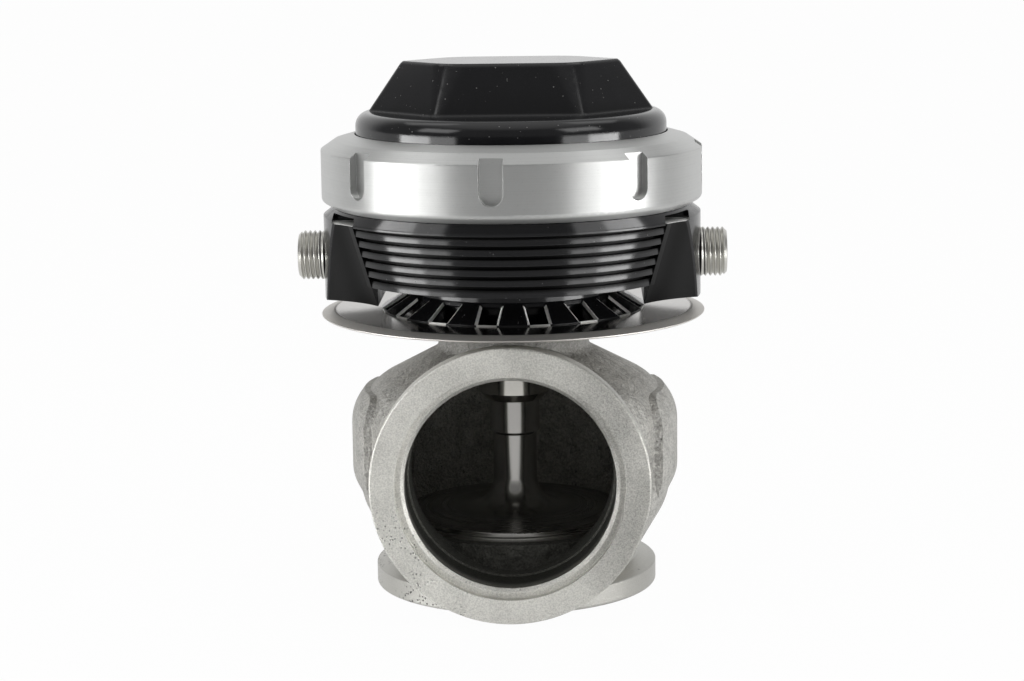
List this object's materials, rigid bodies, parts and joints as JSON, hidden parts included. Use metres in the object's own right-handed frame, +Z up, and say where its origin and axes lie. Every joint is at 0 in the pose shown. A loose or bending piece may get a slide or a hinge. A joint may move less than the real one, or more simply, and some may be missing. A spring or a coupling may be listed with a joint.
{
  "type": "turbo wastegate",
  "caption": "External diaphragm wastegate with V-band inlet and outlet, poppet valve, heat shield, finned liquid-cooled base, locking collar and hexagonal cap.",
  "frame": {"origin": "centre of the inlet flange's lower face", "axes": "+Z up along the valve stem, outlet facing -Y, coolant stubs along +X and -X"},
  "size_m": [0.1242, 0.1132, 0.1531],
  "materials": {
    "cast_stainless": "bead-blasted cast stainless steel",
    "machined_steel": "turned stainless steel",
    "valve_steel": "ground and turned valve steel",
    "bronze": "bearing bronze",
    "polished_steel": "mirror-polished stainless sheet",
    "black_anodised": "satin black anodised aluminium",
    "gloss_black_anodised": "bright-dipped black anodised aluminium",
    "silver_anodised": "satin clear anodised aluminium",
    "rubber": "moulded silicone rubber",
    "spring_steel": "painted spring wire",
    "gasket": "graphite gasket sheet",
    "fastener_steel": "plain stainless fasteners"
  },
  "bodies": {
    "housing": {"valve_body": "cast_stainless", "valve_seat": "machined_steel", "valve_guide": "bronze", "body_gasket": "gasket", "heat_shield": "polished_steel", "actuator_base": "black_anodised", "base_bush": "bronze", "stem_seal": "rubber", "seal_retainer": "fastener_steel", "base_screws": "fastener_steel", "diaphragm": "rubber", "outer_spring": "spring_steel", "middle_spring": "spring_steel", "inner_spring": "spring_steel", "cap_dowel": "fastener_steel", "coolant_fitting_left": "machined_steel", "coolant_fitting_right": "machined_steel", "fitting_seal_left": "rubber", "fitting_seal_right": "rubber"},
    "valve_stack": {"valve": "valve_steel", "diaphragm_plate": "silver_anodised", "piston": "silver_anodised", "stem_washer": "fastener_steel", "stem_nut": "fastener_steel"},
    "cap": {"top_cap": "gloss_black_anodised", "spring_seat": "fastener_steel"},
    "collar_carrier": {"slip_ring": "bronze"},
    "collar": {"collar": "silver_anodised"}
  },
  "joints": [
    {"name": "valve_lift", "type": "slide", "parent": "housing", "child": "valve_stack", "axis": [0, 0, 1], "range_m": [0, 0.014], "stiffness_N_per_m": 2000, "springref_m": -0.002, "deforming": ["outer_spring", "middle_spring", "inner_spring", "diaphragm"]},
    {"name": "collar_turn", "type": "hinge", "parent": "collar_carrier", "child": "collar", "pos_m": [0, 0, 0.12], "axis": [0, 0, 1], "range_deg": [0, 1440]},
    {"name": "collar_rise", "type": "slide", "parent": "housing", "child": "collar_carrier", "axis": [0, 0, 1], "range_m": [0, 0.0061]},
    {"name": "cap_rise", "type": "slide", "parent": "housing", "child": "cap", "axis": [0, 0, 1], "range_m": [0, 0.0061]}
  ],
  "couplings": [
    {"joint": "collar_rise", "follows": "collar_turn", "m_per_rad": 0.00023873},
    {"joint": "cap_rise", "follows": "collar_turn", "m_per_rad": 0.00023873}
  ]
}
